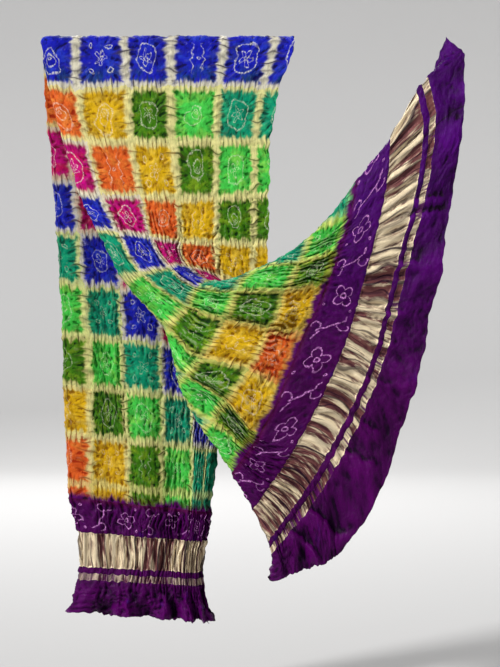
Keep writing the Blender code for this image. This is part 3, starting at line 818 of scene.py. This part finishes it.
def colour(red, green, blue):
    """A screen colour, 0 to 255 a channel, as linear RGBA."""
    levels = np.array((red, green, blue)) / 255
    linear = np.where(levels <= 0.04045, levels / 12.92, ((levels + 0.055) / 1.055) ** 2.4)
    return (*linear.tolist(), 1.0)


def both_ways(operation):
    """Two methods of Wire that add a Math node, with the wire as its first value or its second."""

    def first(wire, other):
        return wire.graph.math(operation, wire, other)

    def second(wire, other):
        return wire.graph.math(operation, other, wire)

    return first, second


def alone(operation):
    """A method of Wire that adds a Math node of the wire alone."""
    return lambda wire: wire.graph.math(operation, wire)


class Wire:
    """A number that runs between a material's nodes, with ordinary arithmetic."""

    def __init__(self, graph, socket):
        self.graph = graph
        self.socket = socket

    __add__, __radd__ = both_ways("ADD")
    __sub__, __rsub__ = both_ways("SUBTRACT")
    __mul__, __rmul__ = both_ways("MULTIPLY")
    __truediv__ = both_ways("DIVIDE")[0]
    __lt__ = both_ways("LESS_THAN")[0]
    __gt__ = both_ways("GREATER_THAN")[0]
    __abs__ = alone("ABSOLUTE")
    floor = alone("FLOOR")
    nearest = alone("ROUND")
    sine = alone("SINE")

    def smooth(self, low, high):
        """0 below low and 1 above high, or the other way round where high is the smaller."""
        rising = float(low < high)
        ends = {"From Min": min(low, high), "From Max": max(low, high)}
        ends |= {"Value": self, "To Min": 1.0 - rising, "To Max": rising}
        return self.graph.wire(self.graph.node("MapRange", ends, interpolation_type="SMOOTHSTEP"))

    def line(self, half_width):
        """1 where this distance is 0, and 0 away from there."""
        return abs(self).smooth(1.5 * half_width, 0.5 * half_width)


def most(first, *others):
    """The greatest of some numbers, the first of them a wire."""
    for other in others:
        first = first.graph.math("MAXIMUM", first, other)
    return first


def least(first, other):
    """The smaller of a wire and another number."""
    return first.graph.math("MINIMUM", first, other)


def from_middle(x, y):
    """Distance of (x, y) from (0, 0)."""
    return x.graph.math("SQRT", x * x + y * y)


class Graph:
    """A material's nodes, added one call at a time."""

    def __init__(self, name):
        self.material = bpy.data.materials.new(name)
        self.material.use_nodes = True
        self.tree = self.material.node_tree
        self.shader = self.tree.nodes["Principled BSDF"]

    def fill(self, node, inputs):
        """Gives a node's sockets their wires, numbers and colours, by name or by order."""
        for key, value in inputs.items():
            if isinstance(value, Wire):
                self.tree.links.new(value.socket, node.inputs[key])
            else:
                node.inputs[key].default_value = value

    def node(self, kind, inputs, **settings):
        made = self.tree.nodes.new("ShaderNode" + kind)
        for key, value in settings.items():
            setattr(made, key, value)
        self.fill(made, inputs)
        return made

    def wire(self, node, output=0):
        return Wire(self, node.outputs[output])

    def math(self, operation, *values, clamp=False):
        inputs = dict(enumerate(values))
        return self.wire(self.node("Math", inputs, operation=operation, use_clamp=clamp))

    def parts(self, wire, kind="XYZ"):
        """The three numbers of a vector, or of a colour."""
        made = self.node("Separate" + kind, {0: wire})
        return [self.wire(made, i) for i in range(3)]

    def texture(self, kind, place, output=0, **inputs):
        """A texture's value at a place of three numbers."""
        vector = self.wire(self.node("CombineXYZ", dict(enumerate(place))))
        return self.wire(self.node(kind, {"Vector": vector, **inputs}), output)

    def chance(self, x, y, z=0.0):
        """Three numbers from 0 to 1, steady for each whole x, y and z."""
        return self.parts(self.texture("TexWhiteNoise", (x, y, z), "Color"), "Color")

    def mix(self, share, first, second):
        made = self.node("Mix", {0: share, 6: first, 7: second}, data_type="RGBA")
        return self.wire(made, 2)

    def painted(self, shown, *layers):
        """A colour with others laid over it, each by its share."""
        for share, tone in layers:
            shown = self.mix(share, shown, tone)
        return shown

    def steps(self, value, colours):
        """One of the colours, as value runs from 0 to 1."""
        made = self.node("ValToRGB", {0: value})
        ramp = made.color_ramp
        ramp.interpolation = "CONSTANT"
        while len(ramp.elements) < len(colours):
            ramp.elements.new(0.5)
        for i, shown in enumerate(colours):
            ramp.elements[i].position = i / len(colours)
            ramp.elements[i].color = shown
        return self.wire(made)


class Silk(Graph):
    """The material of a stretch of the cloth, with what each point knows of its own place."""

    def __init__(self, name):
        super().__init__(name)
        self.column, self.rows, _ = self.parts(self.wire(self.node("UVMap", {}, uv_map="cloth")))
        self.height, self.fold = self.point_values("depths")
        self.side_phase, self.cross_phase = self.point_values("pleats")
        self.x = self.column * COLUMN
        self.y = self.rows * ROW
        self.place = abs(self.rows) * ROW
        self.behind = self.rows < 0.0

    def point_values(self, name):
        """The first two numbers that build_piece gave to each point under a name."""
        attribute = self.node("Attribute", {}, attribute_name=name)
        return self.parts(self.wire(attribute, "Vector"))[:2]

    def noise(self, per_x, per_y, seed=0.0, detail=1.0, roughness=0.5):
        """Noise from about 0.2 to 0.8, of so many units a mm across and along the cloth."""
        place = (self.x * per_x, self.y * per_y, seed)
        return self.texture("TexNoise", place, Scale=1.0, Detail=detail, Roughness=roughness)

    def finish(self, shown, roughness, metallic=0.0, sheen=0.0, bump_depth=0.0011):
        """Sets the shader, with fine threads and slubs as bump under the crinkle."""
        weft = self.noise(0.5, 3.2, detail=2.0)
        warp = self.noise(3.2, 0.5, 4.0, detail=2.0)
        creases = self.noise(0.24, 0.3, 9.0, detail=4.0, roughness=0.65)
        folded = abs(self.noise(0.12, 0.15, 12.0, detail=3.0, roughness=0.6) - 0.5)
        total = weft * 0.2 + warp * 0.2 + creases * 1.1 + folded.smooth(0.0, 0.07) * 0.9
        bump = self.node("Bump", {"Height": total, "Strength": 0.5, "Distance": bump_depth})
        looks = {"Base Color": shown, "Roughness": roughness, "Metallic": metallic}
        looks |= {"Specular IOR Level": 0.08, "Sheen Weight": sheen, "Sheen Roughness": 0.35}
        looks["Normal"] = self.wire(bump)
        self.fill(self.shader, looks)
        return self.material


# The seven dyes of the checks, in their order down a column and out from the middle one: each
# dye as it is, the deeper tone where it pools, also used as painted shade in creases and folds,
# and the tone where it is thin.
DYES = [
    [colour(*tone) for tone in tones]
    for tones in (
        ((240, 108, 40), (160, 42, 6), (246, 150, 62)),    # orange
        ((205, 0, 132), (112, 0, 48), (214, 14, 84)),      # magenta
        ((22, 28, 190), (8, 6, 84), (40, 66, 206)),        # blue
        ((0, 160, 118), (0, 72, 56), (44, 196, 132)),      # teal
        ((78, 222, 84), (16, 104, 22), (140, 226, 84)),    # light green
        ((72, 136, 16), (12, 46, 6), (136, 172, 30)),      # dark green
        ((238, 190, 18), (142, 96, 2), (250, 210, 70)),    # yellow
    )
]
BLUE_DYE = 2           # its number in that order, from 0

# along: where the swag's own tones set in, with deeper painted fold shade and brighter
# painted highlights, and those of the loose cloth above the purple end, with a little more
# painted shade
SWAG_TONES = (430.0, 640.0)
LOOSE_TONES = (768.0, 888.0)

CREAM = colour(244, 234, 158)
CREAM_SHADE = colour(78, 64, 20)
PALE = colour(232, 228, 226)
AMBER = colour(252, 226, 110)
# pale of the tied lines, also painted as a highlight on the crinkle's ridges
TIED_AND_HIGHLIGHT = colour(244, 240, 214)
GOLD = colour(250, 230, 192)
MAUVE = colour(122, 74, 72)
LILAC = colour(228, 150, 226)
SPILT = colour(20, 84, 86)
VIOLET = colour(84, 2, 128)
PURPLE = colour(84, 0, 90)
DEEP_PURPLE = colour(26, 0, 32)
INDIGO = colour(40, 10, 120)
RED_EDGE = colour(96, 10, 26)

VINE_REPEAT = 133.0    # from flower to flower along the vine, in mm
# Half widths of the tied lines, in mm.
BOLD_LINE = 1.5
TIED_LINE = 1.3
FINE_LINE = 1.2


def crease_shade_lines(silk, phase, spacing, half_width, part):
    """Painted shade of thin creases at the whole numbers of a phase, each of its own strength,
    with a softer painted shade round them.
    """
    whole = phase.nearest()
    strength = silk.chance(whole, part)[0].smooth(0.1, 0.9)
    sharp = ((phase - whole) * spacing).line(half_width) * (0.45 + 0.55 * strength)
    return most(sharp, abs(phase - whole).smooth(0.4, 0.0) * 0.4)


def tied_motif(silk, x, y, luck):
    """Tied lines of one check, in mm from its middle: a ring, a pear, a wavy pair or flowers."""
    pick, turn, grow = luck
    size = 0.82 + grow * 0.3
    x = x / size
    y = y / size
    angle = silk.math("ARCTAN2", y, x)
    around = from_middle(x, y * 0.8)
    swell = (angle * 4.0 + turn * 6.0).sine()
    ring = (around - (20.5 + swell * 1.8)).line(TIED_LINE)
    petals = (around - (8.5 + (angle * 5.0 + turn * 9.0).sine() * 3.6)).line(FINE_LINE)
    heart = (around - 2.6).line(1.1)
    tip = silk.math("POWER", (angle + turn * 6.28).sine() * 0.5 + 0.5, 4.0)
    pear = (around - (13.0 + tip * 14.0)).line(TIED_LINE)
    pear_inner = (around - (6.5 + tip * 7.0)).line(FINE_LINE)
    wavy = (abs(x) - (11.5 + (y * 0.32).sine() * 2.6)).line(TIED_LINE) * y.line(24.0)
    loops = (from_middle(abs(x) - 19.0, abs(y) - 21.0) - 4.4).line(FINE_LINE)
    is_ring = pick < 0.42
    is_pear = silk.math("COMPARE", pick, 0.52, 0.1)
    is_wavy = silk.math("COMPARE", pick, 0.69, 0.07)
    is_open = 1.0 - is_ring - is_pear - is_wavy
    drawn = is_ring * most(ring, petals) + is_pear * most(pear, pear_inner)
    return most(drawn + is_wavy * wavy + is_open * most(petals, loops), heart)


def beaded(silk, gaps):
    """The knots that break up a tied line: 1 on them, and `gaps` between them."""
    spacing = (silk.x * 0.3, silk.y * 0.3, 0.0)
    knots = silk.texture("TexVoronoi", spacing, "Distance", Scale=1.0).smooth(0.62, 0.25)
    return knots * (1.0 - gaps) + gaps


def drift(silk, reach):
    """How far a tied line wanders across and along in mm, so that none is drawn true."""
    return [
        (silk.noise(0.045, 0.045, seed, detail=3.0, roughness=0.55) - 0.5) * reach
        for seed in (31.0, 37.0)
    ]


def purple_teeth(silk):
    """1 where the purple dye of the ends has run past their edge, in teeth along the pleats."""
    reach = silk.noise(0.085, 0.014, 43.0, detail=4.0, roughness=0.6) * 44.0 - 14.0
    broad = (silk.noise(0.013, 0.0, 47.0) - 0.5) * 44.0
    return (silk.place + reach + broad).smooth(CHECKS_END - 7.0, CHECKS_END + 7.0)


def runny_place(silk, row, run):
    """Column and row as the dye has them: its edges run out in teeth along the pleats."""
    teeth_down = (silk.noise(0.13, 0.022, 13.0, detail=2.0) - 0.5) * 0.24 * run
    teeth_across = (silk.noise(0.03, 0.085, 17.0, detail=2.0) - 0.5) * 0.2 * run
    wander_down = (silk.noise(0.03, 0.03, 7.0) - 0.5) * 0.09
    wander_across = (silk.noise(0.03, 0.03, 3.0) - 0.5) * 0.09
    return silk.column + teeth_across + wander_across, row + teeth_down + wander_down


def tied_checks(silk, row, in_blue):
    """The tied lines of all the checks."""
    cell_x = silk.column.nearest()
    cell_y = row.floor()
    pick, turn, grow = silk.chance(cell_x, cell_y, silk.behind)
    # The row over the fold has a pear, loops, a ring, a wavy pair and a ring again.
    in_order = silk.math("FRACT", abs(cell_x) * 0.4 + 0.5)
    pick = pick * (1.0 - in_blue) + in_order * in_blue
    drift_x, drift_y = drift(silk, 22.0)
    x = (silk.column - cell_x) * COLUMN + drift_x
    y = (row - cell_y - 0.5) * ROW + drift_y
    tied = tied_motif(silk, x, y, (pick, turn, grow)) * beaded(silk, 0.3)
    return tied * (row < LAST_ROW + 1.0) * (1.0 - silk.behind * 0.4)


def check_silk():
    """Rainbow checks between woven bands, with pale tied motifs."""
    silk = Silk("check_silk")
    height = silk.height
    behind = silk.behind
    row = abs(silk.rows) - FRONT_BAND / ROW + behind * ((FRONT_BAND - BACK_BAND) / ROW)
    row = least(row, LAST_ROW) + most(row - LAST_ROW, 0.0) / LAST_ROW_LENGTH
    loose = silk.y.smooth(*LOOSE_TONES)
    swag = silk.y.smooth(*SWAG_TONES)
    run = 1.0 + loose * 0.5 + behind * 0.25
    dye_column, dye_row = runny_place(silk, row, run)

    # Which dye: the checks step back one colour for each row down and each column out.
    out = least(abs(dye_column.nearest()), LAST_COLUMN)
    down = least(dye_row.floor(), LAST_ROW)
    number = silk.math("FLOORED_MODULO", down - out, len(DYES))
    in_blue = down < -0.5
    number = number * (1.0 - in_blue) + in_blue * BLUE_DYE
    share = (number + 0.5) / len(DYES)
    bright, shade, thin = (silk.steps(share, tones) for tones in zip(*DYES))

    # Deeper in soft streaks, as dye pools, and in the creases as painted shade with some pooled
    # dye; the folds, the back fall and the loose cloth get painted shade.
    pooled = silk.noise(0.04, 0.03, 21.0, detail=3.0, roughness=0.6)
    streak = silk.noise(0.2, 0.06, 25.0, detail=3.0, roughness=0.65)
    faded = silk.noise(0.03, 0.045, 27.0, detail=3.0, roughness=0.6)
    valley = height.smooth(-0.1, -1.4)
    # painted shade: folds, most in the swag, the whole back fall, and a little on the loose cloth
    shaded = silk.fold.smooth(1.0, -3.5) * (0.6 + swag * 0.3) + behind * 0.17 + loose * 0.06
    deep = pooled.smooth(0.44, 0.7) * 0.45 + streak.smooth(0.48, 0.72) * 0.35
    deep = silk.math("ADD", deep + shaded, valley * 0.9, clamp=True)
    pool = (dye_row - down).smooth(0.55, 0.95) * pooled.smooth(0.4, 0.6) * in_blue
    # Magenta and blue, beside which the tied lines and the bands are whiter.
    on_dark = silk.math("COMPARE", number, 1.5, 0.6)
    tied = tied_checks(silk, row, in_blue) * (0.7 + on_dark * 0.25)
    dyed = silk.painted(
        bright,
        (faded.smooth(0.46, 0.66) * 0.8, thin),
        (pool * 0.8, SPILT),
        (deep, shade),
        # painted highlight: the crinkle's ridges lightened toward the pale, more in the swag
        (height.smooth(0.4, 1.6) * (0.08 + swag * 0.1), TIED_AND_HIGHLIGHT),
        (tied, silk.mix(0.72, bright, TIED_AND_HIGHLIGHT)),
    )

    # Woven bands. Their pale ridges run into the checks, and their creases darken toward the dye's
    # deeper tone, partly dye and partly painted shade.
    side_line = abs(dye_column - (dye_column + 0.5).nearest() + 0.5)
    cross_line = abs(dye_row - dye_row.nearest()) + (row < -0.5)
    spill = height.smooth(-1.2, 1.2) * 0.03 + (run - 1.0) * 0.03
    blur = 1.0 - swag * 0.1 + behind * 0.15
    band = most(*(((line - spill) * blur).smooth(0.135, 0.01) for line in (side_line, cross_line)))
    spread = (loose * 0.15 + swag * 0.35) * faded.smooth(0.25, 0.6)
    spread = spread + behind * 0.12 + row.smooth(7.6, 7.95) * 0.25
    tint = 0.06 + swag * 0.1 + (1.0 - band) * (0.55 + loose * 0.3) + spread
    # painted shade of the folds, the back fall and the loose cloth, with random darker streaks
    painted_shade_and_streaks = shaded * (0.7 - swag * 0.35) + streak.smooth(0.46, 0.66) * (0.3 - swag * 0.15)
    woven = silk.painted(
        CREAM,
        (on_dark * 0.55, PALE),
        (swag * 0.5, AMBER),
        (least(tint, 0.9), thin),
        (painted_shade_and_streaks, CREAM_SHADE),
        (swag * pooled.smooth(0.46, 0.62) * 0.15, shade),
        (height.smooth(-0.2, -1.5) * 0.9, silk.mix(0.5, CREAM_SHADE, shade)),
    )
    # painted shade along the creases of the long bands and of the cross bands
    side_crease_shade = crease_shade_lines(silk, silk.side_phase, SIDE_PLEAT, 1.5, silk.column.floor())
    side_crease_shade = side_crease_shade * side_line.smooth(0.34, 0.1) * cross_line.smooth(0.06, 0.16)
    cross_crease_shade = crease_shade_lines(silk, silk.cross_phase, CROSS_PLEAT, 1.1, row.floor())
    cross_crease_shade = cross_crease_shade * cross_line.smooth(0.26, 0.07) * side_line.smooth(0.06, 0.14)

    # The purple of the ends, with a reddish edge, lies over all of it, darker in the creases as
    # painted shade.
    shown = silk.painted(
        dyed,
        (band.smooth(0.0, 0.85), woven),
        # painted shade along the bands' creases
        (most(side_crease_shade, cross_crease_shade) * 0.9, silk.mix(0.6, CREAM_SHADE, shade)),
        (silk.place.smooth(CHECKS_END - 26.0, CHECKS_END) * 0.35, RED_EDGE),
        (purple_teeth(silk), silk.mix(valley, PURPLE, DEEP_PURPLE)),
    )
    return silk.finish(shown, 0.5 - band * 0.1, metallic=band * 0.05)


def stroke(x, y, start, end, half_width):
    """A straight tied line between two places in mm."""
    way_x = end[0] - start[0]
    way_y = end[1] - start[1]
    span = way_x**2 + way_y**2
    along = ((x - start[0]) * way_x + (y - start[1]) * way_y) / span
    along = least(most(along, 0.0), 1.0)
    return from_middle(x - along * way_x - start[0], y - along * way_y - start[1]).line(half_width)


def curl(x, y, middle, radius, half_width):
    """A tied ring round a place in mm."""
    return (from_middle(x - middle[0], y - middle[1]) - radius).line(half_width)


def vine(silk, x, y):
    """Clover flowers alternating with hooked stems; x and y in mm from the band's middle line,
    y toward the checks."""
    x = 0.0 - x
    part = (x / VINE_REPEAT + 0.5).floor()
    drop, turn, _ = silk.chance(part, 3.0)
    flower_x = x - part * VINE_REPEAT
    flower_y = y - (drop - 0.5) * 14.0
    angle = silk.math("ARCTAN2", flower_y, flower_x)
    around = from_middle(flower_x * 0.85, flower_y)
    petals = abs((angle * 2.0 + turn * 3.0).sine()) * 11.0
    flower = (around - (9.5 + petals)).line(1.35)
    heart = (around - 4.0).line(FINE_LINE)
    bud = curl(flower_x, abs(y), (26.0, 28.0), 2.2, 0.9)
    # The stems stand half way between the flowers.
    stem_x = x - ((x / VINE_REPEAT).floor() + 0.5) * VINE_REPEAT
    bent = (y * 0.09).sine() * 3.0
    low, high = (-14.0, -20.0), (14.0, 18.0)
    stem = stroke(stem_x + bent, y, low, high, BOLD_LINE)
    branch = stroke(stem_x, y + bent, high, (28.0, 25.0), TIED_LINE)
    root = stroke(stem_x, y - bent, (-25.0, -25.0), low, TIED_LINE)
    top_curl = curl(stem_x, y, (2.0, 24.0), 9.0, TIED_LINE) * (stem_x < 5.0)
    low_curl = curl(stem_x, y, (-2.0, -25.0), 9.0, TIED_LINE) * (stem_x > -5.0)
    return most(flower, heart, bud, stem, branch, root, top_curl, low_curl)


def purple_silk():
    """Purple ends, with a lilac vine between the checks and the gold band."""
    silk = Silk("purple_silk")
    place = silk.place
    patches = silk.noise(0.016, 0.016, 5.0, detail=3.0, roughness=0.6)
    mottle = silk.noise(0.07, 0.03, 15.0, detail=5.0, roughness=0.65)
    # darker in a soft mottle of the dye, and as painted shade in the creases and folds
    deep = silk.height.smooth(0.0, -1.6) * 0.55 + mottle.smooth(0.42, 0.7) * 0.3
    deep = least(deep + silk.fold.smooth(3.5, -5.0) * 0.7, 1.0)
    ahead = silk.rows > 0.0
    raised = silk.column.smooth(-0.5, 4.0) * ahead
    # Every third crease of the gold band runs on to the front's hem, painted as a dark line of
    # shade.
    long_crease = crease_shade_lines(silk, silk.cross_phase / 3.0, GOLD_PLEAT * 3.0, 2.0, 5.0)
    long_crease = long_crease * place.smooth(VINE_END, VINE_END + 20.0)
    drift_x, drift_y = drift(silk, 15.0)
    drawn = vine(silk, silk.x + drift_x, (CHECKS_END + VINE_END) / 2 - place + drift_y)
    drawn = drawn * beaded(silk, 0.35) * (place < VINE_END)
    shown = silk.painted(
        PURPLE,
        (raised * 0.8, VIOLET),
        (patches.smooth(0.62, 0.72) * 0.5, INDIGO),
        (deep, DEEP_PURPLE),
        (long_crease * (ahead * 0.35 + raised * 0.5), DEEP_PURPLE),
        (drawn * 0.95, LILAC),
        (place.smooth(CHECKS_END + 16.0, CHECKS_END - 8.0) * 0.5, RED_EDGE),
    )
    return silk.finish(shown, 0.4)


def gold_weave():
    """Pale gold metal thread, gathered, with mauve ground and painted shade in its creases."""
    silk = Silk("gold_weave")
    height = silk.height
    phase = silk.cross_phase
    broad = silk.noise(0.034, 0.012, 5.0, detail=2.0)
    streak = silk.noise(0.22, 0.03, 9.0, detail=4.0, roughness=0.65)
    # Each puff between two creases is its own tone, and some show the ground all over.
    luck = silk.chance(phase.floor(), 7.0)[1]
    puff = (luck + silk.behind * 0.2 + (broad - 0.5) * 1.6).smooth(0.28, 0.62)
    # painted light and shade: gold shows more on the crinkle's ridges and the mauve ground more in
    # its hollows, over each puff's own tone
    ridge = height.smooth(-1.3, 1.3) * 0.4 + puff * 0.55 + streak.smooth(0.38, 0.6) * 0.4
    # painted shade along every crease, and a thinner line of it part way between them
    creases = crease_shade_lines(silk, phase, GOLD_PLEAT, 2.3, 0.0)
    half = ((phase - phase.floor() - 0.4) * GOLD_PLEAT).line(1.1)
    # The thin stripe is broken into dashes, and fainter at the back.
    dash = silk.noise(0.08, 0.01, 51.0, detail=3.0)
    front_gaps = dash.smooth(0.45, 0.4) * (1.0 - silk.behind)
    # share of purple over the stripe: in its gaps at the front, and partly all along at the back
    purple_over_stripe = front_gaps + silk.behind * (0.35 + dash.smooth(0.56, 0.44) * 0.35)
    in_stripe = silk.place > PLAIN_END - 1.0
    shown = silk.painted(
        MAUVE,
        (ridge.smooth(0.4, 1.0), GOLD),
        # painted shade in the crinkle's hollows and along the creases
        (height.smooth(-0.6, -1.8) * 0.6, DEEP_PURPLE),
        (creases * 0.95, DEEP_PURPLE),
        (half * broad.smooth(0.6, 0.45) * 0.75, DEEP_PURPLE),
        (purple_over_stripe * in_stripe * 0.9, PURPLE),
    )
    return silk.finish(shown, 0.38, metallic=0.15, sheen=0.04, bump_depth=0.0009)


# ---- Stage ----

CAMERA_AT = (0.1602, -3.5, -0.574)
FOCAL_LENGTH = 97.88
SENSOR = 36.0
FLOOR_HEIGHT = -1.30
BACKDROP_HALF = 9.0    # half the floor's width, and how far the wall stands behind, in m
BACKDROP_BEND = 3.0    # radius of the sweep between them


def camera():
    data = bpy.data.cameras.new("camera")
    data.lens = FOCAL_LENGTH
    data.sensor_width = SENSOR
    data.sensor_fit = "AUTO"
    made = put_in_scene("camera", data, CAMERA_AT)
    made.rotation_euler = (np.pi / 2, 0, 0)
    bpy.context.scene.camera = made


def light(name, kind, at, target, **settings):
    """A light turned toward its target."""
    data = bpy.data.lights.new(name, kind)
    for key, value in settings.items():
        setattr(data, key, value)
    way = np.array(target) - np.array(at)
    made = put_in_scene(name, data, at)
    tilt = np.arctan2(np.hypot(way[0], way[1]), -way[2])
    made.rotation_euler = (tilt, 0, np.arctan2(way[1], way[0]) - np.pi / 2)


def backdrop():
    """A pale floor that sweeps up behind into a wall with no corner."""
    half, bend = BACKDROP_HALF, BACKDROP_BEND
    angles = np.radians(np.arange(0, 91, 6))
    depth = [-half, 0.0, *(half - bend + bend * np.sin(angles)), half]
    height = [0.0, 0.0, *(bend - bend * np.cos(angles)), 2 * half]
    points = [(x, y, z) for y, z in zip(depth, height) for x in (-half, half)]
    mesh = bpy.data.meshes.new("floor")
    mesh.from_pydata(points, [], [(i, i + 1, i + 3, i + 2) for i in range(0, len(points) - 2, 2)])
    mesh.shade_smooth()
    graph = Graph("floor")
    looks = {"Base Color": (0.52, 0.515, 0.51, 1), "Roughness": 0.8, "Specular IOR Level": 0.1}
    graph.fill(graph.shader, looks)
    mesh.materials.append(graph.material)
    made = put_in_scene("floor", mesh, (0, 0, FLOOR_HEIGHT))


def stage():
    backdrop()
    middle = (0, 0, 0)
    light("key", "SUN", (-1.0, -0.9, 0.95), middle, angle=np.radians(9.0), energy=3.0)
    light("fill", "SUN", (1.3, -1.4, 0.3), middle, angle=np.radians(50.0), energy=0.25)
    light("back", "AREA", (-0.8, 5.0, 2.6), (0.15, 0.0, -0.57), size=4.0, energy=260.0)
    world = bpy.data.worlds.new("studio")
    world.use_nodes = True
    sky = world.node_tree.nodes["Background"]
    sky.inputs["Color"].default_value = (0.75, 0.76, 0.78, 1)
    sky.inputs["Strength"].default_value = 0.36
    bpy.context.scene.world = world
    bpy.context.scene.view_settings.view_transform = "Standard"


# ---- Putting it together ----


def main():
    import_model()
    camera()
    finishes = {make.__name__: make() for make in (check_silk, purple_silk, gold_weave)}
    for piece in PIECES:
        made = build_piece(piece, finishes[piece.slot])
        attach(made, "root")
        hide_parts(piece.node)
    stage()


main()
